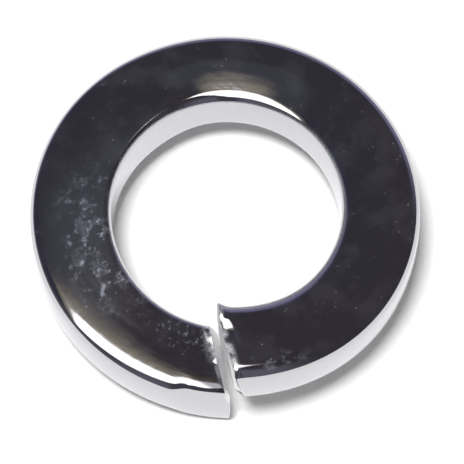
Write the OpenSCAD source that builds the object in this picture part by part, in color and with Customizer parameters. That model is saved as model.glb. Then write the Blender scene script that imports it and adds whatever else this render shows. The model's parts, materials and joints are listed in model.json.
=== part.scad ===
// Spring lock washer: one turn of rolled wire, coiled on edge and sheared through, so that
// its two ends stand apart along the axis. The bore's axis is +Z and the lowest point of
// the low end is at z = 0. The split faces -Y, and the high end lies on its +X side: the
// coil is left-handed, as it is for a bolt with a right-hand thread.

/* [Wire section] */
// Diameter of the bore
bore_d = 13; // [8:0.1:20]
// Width of the section, from the bore to the outer edge
wire_w = 4.45; // [3:0.05:7]
// Thickness of the section at the bore
bore_t = 3.8; // [2.4:0.05:5]
// Thickness of the section at the outer edge
rim_t = 3.6; // [2.4:0.05:5]
// Width of the rolled edges along the bore
bore_edge_w = 0.5; // [0.2:0.05:0.8]
// Width of the rolled edges along the outer edge
rim_edge_w = 0.65; // [0.2:0.05:0.9]
// Height of all four rolled edges
edge_h = 0.6; // [0.2:0.05:0.9]
// How far the outer wall bulges at the middle of its height
rim_crown = 0.12; // [0:0.01:0.2]

/* [Coil] */
// Height of the high end over the low end
rise = 3.2; // [1.5:0.1:5]
// Share of the rise that is bent into the ends, 0 for an even helix
end_bend = 0.8; // [0:0.05:1]
// How far the coil dips below that bend, a little way behind the high end
dip = 0.2; // [0:0.02:0.3]

/* [Split] */
// Angle by which the cut leans from the radial line, its outer end towards +X
split_lean = 12; // [0:1:25]
// Gap between the two ends at the bore
split_in = 0.1; // [0.05:0.05:0.6]
// Gap between the two ends at the outer edge
split_out = 0.55; // [0.1:0.05:1]
// Length along the coil, at the bore, over which the shear pressed an edge of each end over
press_in = 0.6; // [0.1:0.05:0.8]
// Length of that pressed edge at the outer edge
press_out = 0.35; // [0.1:0.05:0.8]
// Depth of that pressed edge, down through the thickness
press_depth = 1; // [0.2:0.1:1.5]

/* [Hidden] */

// Straight pieces in each rolled edge, in the outer wall, in the turn and around the bore
arc_steps = 5;
wall_steps = 4;
turn_steps = 132;
bore_steps = 144;

// Where the dip is deepest, and how far it reaches, as angles behind the high end
dip_angle = 45;
dip_reach = 22;

bore_r = bore_d/2;
mid_r = bore_r + wire_w/2;
half_t = bore_t/2;
corner_z = half_t - edge_h;

// Wire that stands inside the bore until the bore is cut, half of a rolled edge's last step
bore_stock = bore_edge_w*(1 - cos(90/arc_steps))/2;

// A rolled edge, a quarter of an ellipse, as [distance from the bore, height over the middle]
function corner(x, z, w, from) =
    [for (i = [0:arc_steps]) let (a = from + 90*i/arc_steps) [x + w*cos(a), z + edge_h*sin(a)]];

// The outline narrows from the thickness at the bore to that at the rim, and its rim is crowned
function shaped(p) = let (out = max(p[0], 0)/wire_w)
    [p[0] - rim_crown*out*pow(p[1]/half_t, 2), p[1]*(bore_t + (rim_t - bore_t)*out)/bore_t];

outline = concat(
    corner(wire_w - rim_edge_w, corner_z, rim_edge_w, 0),
    corner(bore_edge_w - bore_stock, corner_z, bore_edge_w, 90),
    corner(bore_edge_w - bore_stock, -corner_z, bore_edge_w, 180),
    corner(wire_w - rim_edge_w, -corner_z, rim_edge_w, 270),
    [for (i = [1:wall_steps - 1]) [wire_w, corner_z*(2*i/wall_steps - 1)]]
);
section = [for (p = outline) shaped(p)];
half_h = max([for (p = section) p[1]]);
overall_h = 2*half_h + rise;

// Each sheared face is an upright plane, on side 1 at the high end and -1 at the low end.
// It leans as the split does, opened by its share of the difference between the gaps, and
// its offset is its distance from the axis.
gap_lean = atan((split_out - split_in)/2/wire_w);
half_gap = (split_in + split_out)/4;
function face_lean(side) = split_lean + side*gap_lean;
function face_offset(side) = side*half_gap*cos(gap_lean) - mid_r*sin(face_lean(side));

// Angle from -Y towards +X at which a sheared face meets a radius
function face_angle(side, r) = face_lean(side) + asin(face_offset(side)/r);

// Height of the section's middle along the turn, from t = 0 at the high end to t = 1 at the low one
function middle_z(t) =
    let (u = 1 - 2*t)
    let (dipped = dip*exp(-pow((360*t - dip_angle)/dip_reach, 2)))
    half_h + rise/2*(1 + u + end_bend*(pow(u, 3) - u)) - dipped;

turn_len = 2*PI*mid_r;

// Stations along the turn, as [share of the high end's pressed edge passed, of the plain turn,
// of the low end's pressed edge]
stations = concat([[0, 0, 0]], [for (i = [0:turn_steps]) [1, i/turn_steps, 0]], [[1, 1, 1]]);

// Length of the pressed edge at a distance from the bore
function press_len(x) = press_in + (press_out - press_in)*x/wire_w;

// A section point's height, with the section squeezed where the shear pressed its edge over:
// from below at the high end and from above at the low end
function squeezed(z, s) =
    z + press_depth*(1 - s[0])*(half_h - z)/(2*half_h) - press_depth*s[2]*(half_h + z)/(2*half_h);

// A section point at a station: it goes round from the high end's face to the low end's
function placed(p, s) =
    let (r = bore_r + p[0])
    let (pressed = press_len(p[0])/turn_len)
    let (t = pressed*(s[0] + s[2]) + (1 - 2*pressed)*s[1])
    let (high = face_angle(1, r))
    let (low = 360 + face_angle(-1, r))
    let (a = high + (low - high)*t)
    [r*sin(a), -r*cos(a), middle_z(t) + squeezed(p[1], s)];

module coiled_wire() {
    n = len(section);
    last = len(stations) - 1;
    points = [for (s = stations) for (p = section) placed(p, s)];
    skin = [
        for (k = [0:last - 1]) for (i = [0:n - 1])
            let (j = (i + 1) % n)
            let (here = k*n)
            let (next = here + n)
            each [[here + i, here + j, next + i], [here + j, next + j, next + i]]
    ];
    high_end = [for (i = [n - 1:-1:0]) i];
    low_end = [for (i = [0:n - 1]) last*n + i];
    polyhedron(points, concat(skin, [high_end, low_end]), convexity = 4);
}

module lock_washer() {
    color("silver")
        difference() {
            coiled_wire();
            translate([0, 0, -half_h])
                cylinder(h = overall_h + 2*half_h, d = bore_d, $fn = bore_steps);
        }
}

lock_washer();
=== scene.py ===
import json
import math

import bpy
import numpy as np
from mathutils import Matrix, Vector


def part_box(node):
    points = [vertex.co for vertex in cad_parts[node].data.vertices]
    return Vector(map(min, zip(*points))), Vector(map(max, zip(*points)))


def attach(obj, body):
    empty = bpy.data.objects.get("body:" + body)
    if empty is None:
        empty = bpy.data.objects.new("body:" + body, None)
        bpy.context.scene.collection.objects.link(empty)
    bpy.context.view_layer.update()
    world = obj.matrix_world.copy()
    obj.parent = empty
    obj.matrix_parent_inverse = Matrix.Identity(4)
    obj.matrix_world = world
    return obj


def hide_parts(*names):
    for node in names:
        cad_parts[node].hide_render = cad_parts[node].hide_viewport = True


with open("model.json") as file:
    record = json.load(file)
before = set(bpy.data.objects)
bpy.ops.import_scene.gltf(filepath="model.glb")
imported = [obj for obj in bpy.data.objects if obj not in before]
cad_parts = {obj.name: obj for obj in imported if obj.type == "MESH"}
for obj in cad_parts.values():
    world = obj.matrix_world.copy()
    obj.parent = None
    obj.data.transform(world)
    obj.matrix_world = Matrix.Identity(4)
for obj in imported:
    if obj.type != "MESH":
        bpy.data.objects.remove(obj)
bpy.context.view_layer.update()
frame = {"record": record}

# Sizes of the washer, in millimetres and degrees as in the part's source
MM = 0.001
low_corner, high_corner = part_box("lock_washer")
bore = next(mount for mount in frame["record"]["mounts"] if mount["name"] == "bore")
bore_r = bore["dims"]["r_mm"]
rim_r = (high_corner[0] - low_corner[0])/2/MM
free_height = (high_corner[2] - low_corner[2])/MM
wire_w = rim_r - bore_r
mid_r = (bore_r + rim_r)/2
turn_len = 2*math.pi*mid_r
bore_t = 3.8
rim_t = 3.6
bore_edge_w = 0.5
rim_edge_w = 0.65
edge_h = 0.6
rim_crown = 0.12
end_bend = 0.8
dip = 0.2
dip_angle = 45
dip_reach = 22
split_lean = math.radians(12)
split_in = 0.1
split_out = 0.55
press_in = 0.6
press_depth = 1.0

# Places along the turn, each as its share behind the high end and how far it reaches
at_high_end = (0.07, 0.13)
at_back = (0.495, 0.072)
at_left = (0.70, 0.13)
at_bow = (0.478, 0.10)
at_wall_out = (0.46, 0.11)
at_wall_in = (0.74, 0.15)

# What rolling and coiling left on this one washer: crowns, and how its edges and wall vary
bore_crown = 0.06
left_crown_loss = 0.7
bore_face_crown = 0.05
rim_face_crown = 0.10
back_face_crown = 0.08
back_bow = 0.225
back_bow_fade = (0.08, 0.68)
wall_shift = 0.12
wall_shift_fade = (0, 0.3)
back_bore_edge = 0.12
high_bore_edge = 0.3
left_bore_edge = -0.2
left_rim_edge = -0.25
low_rim_edge = -0.3
low_rim_edge_h = -0.25
low_rim_lean = 0.3
low_rim_fade = (1.9, 2.9)

# What shearing left by the two cuts: a length is along the wire, a fade across it from the bore
press_out = 0.20
rim_press_share = 0.25
rim_press_fade = (wire_w - 1.1, wire_w - 0.25)
burr_wander = 0.04
burr_waves = 9.1
curl_up = 0.07
curl_len = (0.2, 1.6)
curl_fade = (0.9, 1.9)
tuck_in = 0.13
tuck_len = 0.6
bore_reach = 0.10
face_reach = 0.18
reach_len = 0.8
reach_fade = (0, 1.2)
lip_up = 0.17
lip_in = 0.15
lip_len = 0.55
lip_up_fade = (0.6, 1.7)
lip_in_fade = (0, 0.8)
cut_round_len = 0.28
cut_round_depth = 0.16

# Steps in the grid of the washer's surface
stations = 860
corner_steps = 10
wall_steps = 6
top_steps = 40
bottom_steps = 8


# Geometry
def step_between(x, start, end):
    """0 before start and 1 after end, with the smooth cubic 3u^2 - 2u^3 in between."""
    u = np.clip((x - start)/(end - start), 0, 1)
    return u*u*(3 - 2*u)


def bell(x, middle, reach):
    """1 at a middle and 0 away from it, exp(-u^2) with u the distance over the reach."""
    return np.exp(-((x - middle)/reach)**2)


def near_place(t, place):
    """1 close to a place on the turn and 0 away from it, exp(-u^4) with u the distance over
    the place's reach."""
    middle, reach = place
    return np.exp(-((t - middle)/reach)**4)


def by_low_end(t):
    """1 along the low end and 0 elsewhere, with a smooth step in between."""
    return 1 - step_between((1 - t)*turn_len, *low_rim_fade)


def turn_stations():
    """Places along the turn, 0 to 1, u - k sin(2 pi u)/(2 pi): closer together at its ends."""
    u = np.linspace(0, 1, stations)
    return u - 0.62*np.sin(2*np.pi*u)/(2*np.pi)


def wire_section(t):
    """Outlines of the wire at the stations t, as distance from the bore and height over the
    middle: a rectangle with quarter-ellipse edges, counterclockwise from the top of the outer
    wall. The bore's edge is broader at the back and the high end, the rim's is tighter at the
    low end, and both are tighter at the left."""
    back, left, high = (near_place(t, place) for place in (at_back, at_left, at_high_end))
    in_w = bore_edge_w + back_bore_edge*back + left_bore_edge*left + high_bore_edge*high
    out_w = rim_edge_w + low_rim_edge*by_low_end(t) + left_rim_edge*left
    out_h = edge_h + low_rim_edge_h*by_low_end(t)
    a = np.linspace(0, np.pi/2, corner_steps + 1)
    wall = np.linspace(-1, 1, wall_steps + 1)[1:-1]
    top = np.linspace(0, 1, top_steps + 1)[1:-1]
    bottom = np.linspace(0, 1, bottom_steps + 1)[1:-1]
    up_in = bore_t/2 - edge_h
    up_out = bore_t/2 - out_h
    flat = wire_w - out_w - in_w
    same = np.zeros_like(t)
    x = np.concatenate([
        wire_w - out_w*(1 - np.cos(a)),
        wire_w - out_w - flat*top,
        in_w*(1 - np.sin(a)),
        same + 0*wall,
        in_w*(1 - np.cos(a)),
        in_w + flat*bottom,
        wire_w - out_w*(1 - np.sin(a)),
        same + wire_w + 0*wall,
    ], 1)
    z = np.concatenate([
        up_out + out_h*np.sin(a),
        same + bore_t/2 + 0*top,
        same + up_in + edge_h*np.cos(a),
        same - up_in*wall,
        same - up_in - edge_h*np.sin(a),
        same - bore_t/2 + 0*bottom,
        -up_out - out_h*np.cos(a),
        up_out*wall,
    ], 1)
    return x, z


def shaped(x, z, t):
    """The outline tapers from the thickness at the bore to the rim's, the walls bulge by a
    parabola, and the faces are crowned by the third power of the distance from their middle.
    At the back the crown is deeper inside, and the upper face bows down to the bore by a
    smooth step. The bore's wall stands in at the left and out at the back, and the rim's wall
    leans in at the low end."""
    out = np.clip(x, 0, None)/wire_w
    up = z/(bore_t/2)
    taper = (bore_t + (rim_t - bore_t)*out)/bore_t
    inner = bore_face_crown + back_face_crown*near_place(t, at_back)
    crown = np.where(out > 0.5, rim_face_crown, inner)*np.abs(2*out - 1)**3
    bulge = rim_crown*out - bore_crown*(1 - out)
    bulge = bulge*(1 - left_crown_loss*near_place(t, at_left))
    lean = low_rim_lean*by_low_end(t)*np.clip((1 + up)/2, 0, 1)**2*out**6
    inward = wall_shift*(near_place(t, at_wall_in) - near_place(t, at_wall_out))
    inward = inward*(1 - step_between(out, *wall_shift_fade))
    bow = back_bow*near_place(t, at_bow)*(1 - step_between(out, *back_bow_fade))
    bow = bow*np.clip(up, 0, 1)**3
    return x - bulge*up**2 - lean - inward, z*taper - crown*up - bow


def face_angle(side, r):
    """Angle from -Y towards +X at which a sheared face, an upright plane, meets the radius r:
    the plane's lean, plus the arcsine of its distance from the axis over r."""
    gap_lean = math.atan((split_out - split_in)/2/wire_w)
    lean = split_lean + side*gap_lean
    offset = side*(split_in + split_out)/4*math.cos(gap_lean) - mid_r*math.sin(lean)
    return lean + np.arcsin(offset/r)


def middle_height(t, half_h):
    """Height of the wire's middle: a helix whose rise is bent into its ends by a cubic, with a
    dip of a bell's shape behind the high end."""
    u = 1 - 2*t
    rise = free_height - 2*half_h
    return half_h + rise/2*(1 + u + end_bend*(u**3 - u)) - dip*bell(t*360, dip_angle, dip_reach)


def strip_len(v):
    """Length of the pressed-over strip at a distance v from the bore, even from bore to rim."""
    return press_in + (press_out - press_in)*v/wire_w


def pressed_off(s, v):
    """Height that the shear pressed off at a distance s from the cut and v from the bore: a
    facet that steepens towards the cut, 0.6 u + 0.4 u^2 with u = 1 - s/length."""
    u = np.clip(1 - s/strip_len(v), 0, 1)
    return press_depth*(0.6*u + 0.4*u*u)


def rounded_off(s):
    """Height taken off at a distance s from the cut by a quarter ellipse."""
    u = np.clip(1 - s/cut_round_len, 0, 1)
    return cut_round_depth*(1 - np.sqrt(1 - u*u))


def dent(s, v, depth, length, middle, width):
    """Dent that the shear left in the high end's top: a bell over the distance s from a line
    just past the cut, times a bell over the distance v from the bore."""
    return depth*bell(s, -0.05, length)*bell(v, middle, width)


def burr(s, v, height, length, middle, width, nearer=0):
    """Burr that the shear left along the low end's strip: a bell over the distance s from the
    cut, whose middle wanders by a sine of the distance v from the bore, times a bell over v."""
    edge = strip_len(v) + burr_wander*np.sin(burr_waves*v) - nearer
    return height*bell(s, edge, length)*bell(v, middle, width)


def over_gap(s, v, top):
    """How far the high end's face reaches over the gap: a bell over the distance s from the cut,
    which grows by a smooth step over the distance v from the bore, but for the rim's bottom."""
    rim_bottom = step_between(v, wire_w - 0.5, wire_w)*(1 - step_between(top, 0.2, 0.9))
    reach = bore_reach + face_reach*step_between(v, *reach_fade)
    return reach*bell(s, 0, reach_len)*(1 - rim_bottom)


def tucked(s, v, top):
    """How far the low end's face draws back under its top: a bell over the distance s from the
    cut, even over the distance v from the bore, and the square of the share of depth."""
    return tuck_in*bell(s, 0, tuck_len)*(1 - top)**2*np.clip(v, 0, None)/wire_w


def lip_share(s, v, top):
    """Share of the lip on the high end's inner corner: a bell over the distance s from the cut,
    the third power of the share of height, and a smooth step over the distance v from the
    bore."""
    return bell(s, 0, lip_len)*top**3*(1 - step_between(v, *lip_up_fade))


def curled(s, v, top):
    """How far the low end's top curls up: smooth steps over the distance s from the cut and v
    from the bore, and the square of the share of height."""
    return curl_up*(1 - step_between(s, *curl_len))*step_between(v, *curl_fade)*top**2


def off_top(from_high, from_low, v):
    """Height that the top loses by the two cuts: at the low end the facet, shallower by the rim,
    with burrs along it, and at the high end the rounding and two dents."""
    facet = pressed_off(from_low, v)
    facet = facet*(1 - (1 - rim_press_share)*step_between(v, *rim_press_fade))
    burrs = (burr(from_low, v, height=0.07, length=0.17, middle=2.05, width=0.25)
             + burr(from_low, v, height=0.05, length=0.17, middle=0.1, width=0.2)
             + burr(from_low, v, height=0.15, length=0.32, middle=0.8, width=0.45, nearer=0.05))
    dents = (dent(from_high, v, depth=0.36, length=0.42, middle=1.8, width=0.85)
             + dent(from_high, v, depth=0.10, length=0.35, middle=4.3, width=0.45))
    return facet - burrs + rounded_off(from_high) + dents


def washer_surface():
    """The section carried along the turn: grid of points [station, outline], in millimetres,
    and the place of each on the straightened wire: along it, from the bore, over the middle.
    A point turns by its share of the angle between the two cuts and rises with the wire's
    middle. What the shear left is added by the distances from the cuts and the bore, and by
    the share of the wire's height."""
    t = turn_stations()[:, None]
    x, z = shaped(*wire_section(t), t)
    from_high = t*turn_len
    from_low = turn_len - from_high
    place = np.stack([from_high + 0*x, x, z], -1)
    half_h = z[0].max()
    top = (half_h + z)/(2*half_h)
    r = bore_r + x
    high = face_angle(1, r)
    low = 2*math.pi + face_angle(-1, r)
    moved = over_gap(from_high, x, top) + tucked(from_low, x, top)
    a = high + (low - high)*t - moved/r
    z = z + pressed_off(from_high, x)*(1 - top) - off_top(from_high, from_low, x)*top
    lip = lip_share(from_high, x, top)
    z = middle_height(t, half_h) + z + lip_up*lip + curled(from_low, x, top)
    r = r - lip_in*lip*(1 - step_between(x, *lip_in_fade))
    return np.stack([r*np.sin(a), -r*np.cos(a), z], -1), place


def capped(grid):
    """Grid rows with rings added over both ends, each the end's outline drawn in towards its
    middle by a share, and the two middles after all rows."""
    shares = np.array([0.985, 0.93, 0.7, 0.35])[:, None, None]
    first, last = grid[0], grid[-1]
    first_mid, last_mid = first.mean(0), last.mean(0)
    head = first_mid + (first - first_mid)*shares[::-1]
    tail = last_mid + (last - last_mid)*shares
    rows = np.concatenate([head, grid, tail]).reshape(-1, 3)
    return np.concatenate([rows, [first_mid, last_mid]])


def closed_mesh(name, grid, place):
    """Quads between the rows of the grid, which close on themselves, and a fan at each pole."""
    points = capped(grid)
    ring = grid.shape[1]
    pole = len(points) - 2
    k, i = np.meshgrid(np.arange(pole//ring - 1), np.arange(ring), indexing="ij")
    j = (i + 1) % ring
    here, after = k*ring, (k + 1)*ring
    quads = np.stack([here + i, here + j, after + j, after + i], -1).reshape(-1, 4)
    i = np.arange(ring)
    j = (i + 1) % ring
    head = np.stack([np.full(ring, pole), j, i], -1)
    tail = np.stack([np.full(ring, pole + 1), pole - ring + i, pole - ring + j], -1)
    mesh = bpy.data.meshes.new(name)
    mesh.from_pydata((points*MM).tolist(), [], quads.tolist() + head.tolist() + tail.tolist())
    mesh.shade_smooth()
    wire_place = mesh.attributes.new("wire_place", "FLOAT_VECTOR", "POINT")
    wire_place.data.foreach_set("vector", capped(place).astype(np.float32).ravel())
    piece = bpy.data.objects.new(name, mesh)
    bpy.context.collection.objects.link(piece)
    return piece


# Nodes
def add_node(tree, kind, settings=None, **inputs):
    """Adds a node, sets its properties, and fills each input with a value or a link. An input is
    given by its name, or as i and its number."""
    made = tree.nodes.new(kind)
    for name, value in (settings or {}).items():
        setattr(made, name, value)
    for name, value in inputs.items():
        numbered = name[0] == "i" and name[1:].isdigit()
        socket = made.inputs[int(name[1:]) if numbered else name.replace("_", " ")]
        if isinstance(value, bpy.types.NodeSocket):
            tree.links.new(value, socket)
        else:
            socket.default_value = value
    return made


def maths(tree, operation, *values, clamp=False):
    """What an operation makes of its values, which are numbers or links."""
    settings = {"operation": operation, "use_clamp": clamp}
    inputs = {f"i{k}": value for k, value in enumerate(values)}
    return add_node(tree, "ShaderNodeMath", settings, **inputs).outputs[0]


def vector_maths(tree, operation, first, second):
    """The node that an operation on two vectors makes."""
    return add_node(tree, "ShaderNodeVectorMath", {"operation": operation}, i0=first, i1=second)


def times(tree, result, *others):
    """All values multiplied together."""
    for other in others:
        result = maths(tree, "MULTIPLY", result, other)
    return result


def larger(tree, result, *others):
    """The largest of all values."""
    for other in others:
        result = maths(tree, "MAXIMUM", result, other)
    return result


def soft_edge(tree, value, start, end):
    """A smooth step of a value, from 0 at start to 1 at end."""
    settings = {"interpolation_type": "SMOOTHSTEP"}
    step = add_node(tree, "ShaderNodeMapRange", settings, Value=value, From_Min=start, From_Max=end)
    return step.outputs[0]


def ranged(tree, value, start, end, low, high):
    """A value between start and end, carried over evenly to between low and high."""
    return add_node(tree, "ShaderNodeMapRange", Value=value, From_Min=start, From_Max=end,
                    To_Min=low, To_Max=high).outputs[0]


def mixed(tree, share, below, above):
    """A colour between two, each of them a colour or a link."""
    inputs = {name: colour if isinstance(colour, bpy.types.NodeSocket) else (*colour, 1)
              for name, colour in (("i6", below), ("i7", above))}
    return add_node(tree, "ShaderNodeMix", {"data_type": "RGBA"}, Factor=share, **inputs).outputs[2]


def new_material(name):
    """A material, its node tree and its shader."""
    material = bpy.data.materials.new(name)
    material.use_nodes = True
    return material, material.node_tree, material.node_tree.nodes["Principled BSDF"]


# Finishes
chrome_tint = (0.58, 0.58, 0.60)
water_tint = (0.48, 0.54, 0.74)
torn_tint = (0.92, 0.91, 0.92)
# painted shade: darkens the high end's outer corner and a wedge beside the low end's strip
painted_shade_tint = (0.10, 0.10, 0.11)
paper_tint = (0.95, 0.95, 0.95)


def on_wire(tree, ways=(1, 1, 1)):
    """The place on the straightened wire, in millimetres along it, from the bore and over the
    middle, with each of these ways scaled."""
    place = add_node(tree, "ShaderNodeAttribute", {"attribute_name": "wire_place"})
    return vector_maths(tree, "MULTIPLY", place.outputs["Vector"], ways).outputs[0]


def wire_ways(tree):
    """The place on the wire as three values: along it, from the bore and over the middle."""
    return add_node(tree, "ShaderNodeSeparateXYZ", i0=on_wire(tree)).outputs


def noise(tree, scale, detail, ways=(1, 1, 1)):
    """Noise over the wire: features per millimetre, with the wire's ways scaled."""
    return add_node(tree, "ShaderNodeTexNoise", Vector=on_wire(tree, ways), Scale=scale,
                    Detail=detail, Roughness=0.6).outputs[0]


def near(tree, along, across, over, reach):
    """1 at a place on the wire, down smoothly to 0 at the reach, or 2.5 times as far along."""
    place = on_wire(tree, (0.4, 1, 1))
    away = vector_maths(tree, "DISTANCE", place, (0.4*along, across, over)).outputs["Value"]
    return soft_edge(tree, away, reach, 0)


def dots(tree, scale, size):
    """Round dots of uneven size scattered over the wire."""
    cells = add_node(tree, "ShaderNodeTexVoronoi", Vector=on_wire(tree), Scale=scale)
    return soft_edge(tree, cells.outputs["Distance"], size, 0.3*size)


def dull_places(tree):
    """How dull the plating is: dried water marks at the left, specks by the low end, a smudge by
    the high end, and faint smears and dust all over."""
    over = wire_ways(tree)[2]
    wet = near(tree, 44, 1.0, 1.9, reach=3.0)
    clusters = times(tree, soft_edge(tree, noise(tree, 1.1, 3), 0.44, 0.60), wet)
    marks = times(tree, clusters, soft_edge(tree, noise(tree, 3, 3), 0.43, 0.70))
    specks = times(tree, near(tree, turn_len - 2.4, 1.2, 1.85, reach=1.3),
                   soft_edge(tree, noise(tree, 3.2, 2), 0.54, 0.68), 0.5)
    smudge = times(tree, near(tree, 1.75, 3.8, 1.7, reach=0.95), soft_edge(tree, over, 1.58, 1.68),
                   soft_edge(tree, noise(tree, 2.6, 2), 0.48, 0.66), 0.35)
    smears = times(tree, soft_edge(tree, noise(tree, 0.5, 3), 0.44, 0.66), 0.045)
    film = larger(tree, smears, times(tree, wet, 0.06), times(tree, clusters, 0.22))
    dust = times(tree, dots(tree, 2.2, 0.15), soft_edge(tree, noise(tree, 0.5, 2), 0.42, 0.64), 0.5)
    return larger(tree, marks, specks, smudge, film, dust)


def torn_and_painted_shade_places(tree):
    """Where the steel is torn: on the cuts, on the low end's strip, and in scuffs beside them on
    the upper face. Then the painted shade: a dark patch on the high end's outer corner, and a
    dark wedge beside the strip's outer end that ends its highlight short of the cut."""
    along, across, over = wire_ways(tree)
    from_low = maths(tree, "SUBTRACT", turn_len, along)
    strip = ranged(tree, across, 0, wire_w, press_in, press_out)
    past_edge = maths(tree, "SUBTRACT", strip, from_low)
    on_strip = times(tree, soft_edge(tree, past_edge, 0, 0.03), soft_edge(tree, over, -0.5, 0.3),
                     soft_edge(tree, across, wire_w - 0.12, wire_w - 0.35))
    on_cut = larger(tree, soft_edge(tree, along, 0.03, 0), soft_edge(tree, from_low, 0.03, 0))
    by_strip = times(tree, soft_edge(tree, past_edge, -0.75, -0.1),
                     soft_edge(tree, across, 2.9, 1.2))
    by_cut = times(tree, soft_edge(tree, along, 0.42, 0.12), soft_edge(tree, across, 4.2, 3.2), 0.8)
    scuffs = times(tree, larger(tree, by_strip, by_cut), soft_edge(tree, over, 1.2, 1.7),
                   soft_edge(tree, noise(tree, 1.8, 1), 0.25, 0.70))
    # Painted shade: the high end's outer corner and a wedge beside the strip's outer end are
    # darkened, the wedge ending the strip's highlight short of the cut
    painted_corner_shade = times(tree, soft_edge(tree, across, wire_w - 0.45, wire_w - 0.25),
                 soft_edge(tree, over, 0, 0.3), soft_edge(tree, along, 0.06, 0.02))
    slanted = maths(tree, "MULTIPLY_ADD", across, -2.0, past_edge)
    painted_wedge_shade = times(tree, soft_edge(tree, slanted, -8.6, -8.0),
                  soft_edge(tree, past_edge, 0.05, -0.05),
                  soft_edge(tree, across, 3.0, 3.4), soft_edge(tree, over, 1.5, 1.65), 0.85)
    return larger(tree, on_strip, on_cut, scuffs), larger(tree, painted_corner_shade, painted_wedge_shade)


def chrome_plating():
    """Bright chrome over rolled steel: faint lines along the wire and a slight ripple, dulled by
    dried water and dust, and torn through where the shear went, with painted shade on the high
    end's outer corner and beside the low end's strip. Its textures are laid on the straightened
    wire, in millimetres."""
    material, tree, shader = new_material("chrome_plating")
    dull = dull_places(tree)
    torn, dark = torn_and_painted_shade_places(tree)
    colour = mixed(tree, dull, chrome_tint, water_tint)
    colour = mixed(tree, torn, colour, torn_tint)
    # painted shade: a dark tint over the high end's outer corner and beside the strip's outer end
    colour = mixed(tree, dark, colour, painted_shade_tint)
    tree.links.new(colour, shader.inputs["Base Color"])

    # Dull and torn places are rougher and less metallic, and the lines vary the gloss
    grain = ranged(tree, noise(tree, 9, 3), 0.35, 0.65, 0.45, 0.85)
    bare = maths(tree, "MULTIPLY_ADD", dull, 0.45, times(tree, torn, grain))
    tree.links.new(maths(tree, "SUBTRACT", 1, bare, clamp=True), shader.inputs["Metallic"])
    lines = noise(tree, 3, 4, (0.06, 1, 1))
    gloss = ranged(tree, lines, 0.35, 0.75, 0.035, 0.10)
    tree.links.new(maths(tree, "MULTIPLY_ADD", bare, 0.5, gloss), shader.inputs["Roughness"])
    ripple = maths(tree, "MULTIPLY_ADD", lines, 0.3, noise(tree, 0.9, 2))
    bump = add_node(tree, "ShaderNodeBump", Height=ripple, Strength=0.15, Distance=0.03*MM)
    tree.links.new(bump.outputs[0], shader.inputs["Normal"])
    return material


def seen_directly(tree):
    """1 for the rays that the camera, a mirror or glass sends, and 0 for those that light
    things."""
    path = add_node(tree, "ShaderNodeLightPath").outputs
    return larger(tree, path["Is Camera Ray"], path["Is Glossy Ray"], path["Is Transmission Ray"])


def paper_floor():
    """White paper, a little lighter to the camera and in mirrors, so that it is white all over."""
    material, tree, shader = new_material("paper_floor")
    shader.inputs["Base Color"].default_value = (*paper_tint, 1)
    shader.inputs["Roughness"].default_value = 1
    shader.inputs["Specular IOR Level"].default_value = 0
    shader.inputs["Emission Color"].default_value = (1, 1, 1, 1)
    lift = times(tree, seen_directly(tree), 0.05)
    tree.links.new(lift, shader.inputs["Emission Strength"])
    return material


# Light
def unit(zenith, azimuth):
    """Direction at an angle from straight up, towards an azimuth counted from +X to +Y."""
    z, a = math.radians(zenith), math.radians(azimuth)
    return np.array([math.sin(z)*math.cos(a), math.sin(z)*math.sin(a), math.cos(z)])


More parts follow.
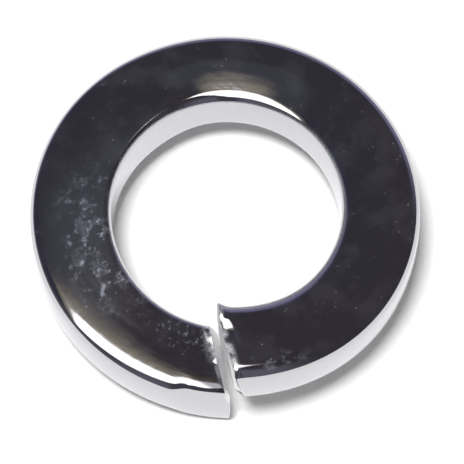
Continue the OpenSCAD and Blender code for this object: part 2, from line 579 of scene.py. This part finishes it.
def studio():
    """Dark studio with a white softbox from overhead to the front left, as mirrors see it, and
    an even pale light for everything else. Each edge of the softbox is a plane through the
    washer, given by its normal."""
    world = bpy.data.worlds.new("studio")
    world.use_nodes = True
    tree = world.node_tree
    way = add_node(tree, "ShaderNodeTexCoord").outputs["Generated"]

    def beyond(normal, start, end):
        """A smooth step of how far a direction lies beyond a plane."""
        axis = tuple(np.array(normal)/np.linalg.norm(normal))
        depth = vector_maths(tree, "DOT_PRODUCT", way, axis).outputs["Value"]
        return soft_edge(tree, depth, start, end)

    # The dark room, a little lighter to the right, with paler things that stand low round it
    right, back, down = (1, 0, 0), (0, 1, 0), (0, 0, -1)
    colour = mixed(tree, beyond(right, -0.7, 0.2), (0.045, 0.046, 0.066), (0.048, 0.043, 0.054))
    back_wall = times(tree, beyond(back, 0.45, 0.95), beyond(down, -0.75, -0.3))
    colour = mixed(tree, back_wall, colour, (0.06, 0.06, 0.12))
    horizon = times(tree, beyond(back, 0.3, 0.8), beyond(down, -0.62, -0.22))
    colour = mixed(tree, horizon, colour, (0.25, 0.23, 0.36))
    left_wall = times(tree, beyond((-1, 0.2, 0), 0.35, 0.85), beyond(down, -0.36, -0.04))
    colour = mixed(tree, left_wall, colour, (0.22, 0.22, 0.29))
    front_left = times(tree, beyond((-0.7, -0.7, 0), 0.5, 0.85), beyond(down, -0.5, -0.1))
    colour = mixed(tree, front_left, colour, (0.12, 0.12, 0.13))
    front_wall = times(tree, beyond((0.25, -0.95, 0), 0.3, 0.75), beyond((-1, -0.3, 0), -0.6, -0.1))
    colour = mixed(tree, front_wall, colour, (0.15, 0.14, 0.18))

    # The ceiling's glow, the warm halo round the softbox, and the softbox
    glow = times(tree, beyond((0, -1, 0.404), -0.052, 0.052),
                 beyond((-1, 0, 0), -0.14, -0.02), beyond(right, -0.3, -0.1))
    colour = mixed(tree, glow, colour, (0.066, 0.067, 0.085))
    left_edge = beyond((-1.026, 0.352, 0.22), -0.02, 0.03)
    front_edge = beyond((-0.1, 0.86, 0.70), -0.02, 0.05)
    halo = times(tree, beyond((0, -1, 0.215), -0.050, 0.046),
                 beyond((0.901, -1.577, 0.50), -0.06, 0.06), left_edge, front_edge)
    colour = mixed(tree, halo, colour, (0.34, 0.305, 0.245))
    softbox = times(tree, beyond((0, -1, 0.155), -0.02, 0.02),
                    beyond((0.901, -1.577, 0.33), -0.02, 0.03), left_edge, front_edge)
    colour = mixed(tree, softbox, colour, (2.3, 2.25, 2.26))

    path = add_node(tree, "ShaderNodeLightPath").outputs
    first = maths(tree, "LESS_THAN", path["Diffuse Depth"], 0.5)
    mirrored = times(tree, path["Is Glossy Ray"], first)
    colour = mixed(tree, mirrored, (0.19, 0.19, 0.19), colour)
    tree.links.new(colour, tree.nodes["Background"].inputs["Color"])
    bpy.context.scene.world = world


def key_lamp():
    """Broad lamp where the softbox is, which throws the soft shadow to the right."""
    zenith, azimuth, distance = 11, 228, 0.6
    data = bpy.data.lights.new("key_lamp", "AREA")
    data.shape = "DISK"
    data.size = 0.16
    data.energy = 3.4
    lamp = bpy.data.objects.new("key_lamp", data)
    lamp.location = Vector(unit(zenith, azimuth))*distance
    lamp.rotation_euler = lamp.location.to_track_quat("Z", "Y").to_euler()
    lamp.visible_glossy = False
    bpy.context.collection.objects.link(lamp)


# Camera
def photo_camera():
    """Camera at the photograph's angle, 66 degrees up. The washer's middle stands a few pixels
    left of the image's middle and above it."""
    elevation, azimuth = math.radians(66.1), math.radians(-0.45)
    distance = 168*MM
    image_px, focal_px, sensor_w = 464, 2981.0, 36
    left_px, above_px = 6.9, 13.7
    middle = Vector((0, 0, free_height/2*MM))
    back = Vector((math.sin(azimuth)*math.cos(elevation),
                   -math.cos(azimuth)*math.cos(elevation), math.sin(elevation)))
    right = Vector((math.cos(azimuth), math.sin(azimuth), 0))
    up = back.cross(right)
    per_px = distance/focal_px
    aim = middle + right*(left_px*per_px) - up*(above_px*per_px)
    data = bpy.data.cameras.new("camera")
    data.sensor_width = sensor_w
    data.lens = focal_px*sensor_w/image_px
    data.clip_start = 0.01
    data.clip_end = 10
    camera = bpy.data.objects.new("camera", data)
    camera.location = middle + back*distance
    camera.rotation_euler = (camera.location - aim).to_track_quat("Z", "Y").to_euler()
    bpy.context.collection.objects.link(camera)
    bpy.context.scene.camera = camera


photo_camera()
washer = closed_mesh("spring_washer", *washer_surface())
washer.data.materials.append(chrome_plating())
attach(washer, "root")
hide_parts("lock_washer")

bpy.ops.mesh.primitive_plane_add(size=2)
floor = bpy.context.object
floor.name = "floor"
floor.data.materials.append(paper_floor())

studio()
key_lamp()
bpy.context.scene.view_settings.view_transform = "Standard"
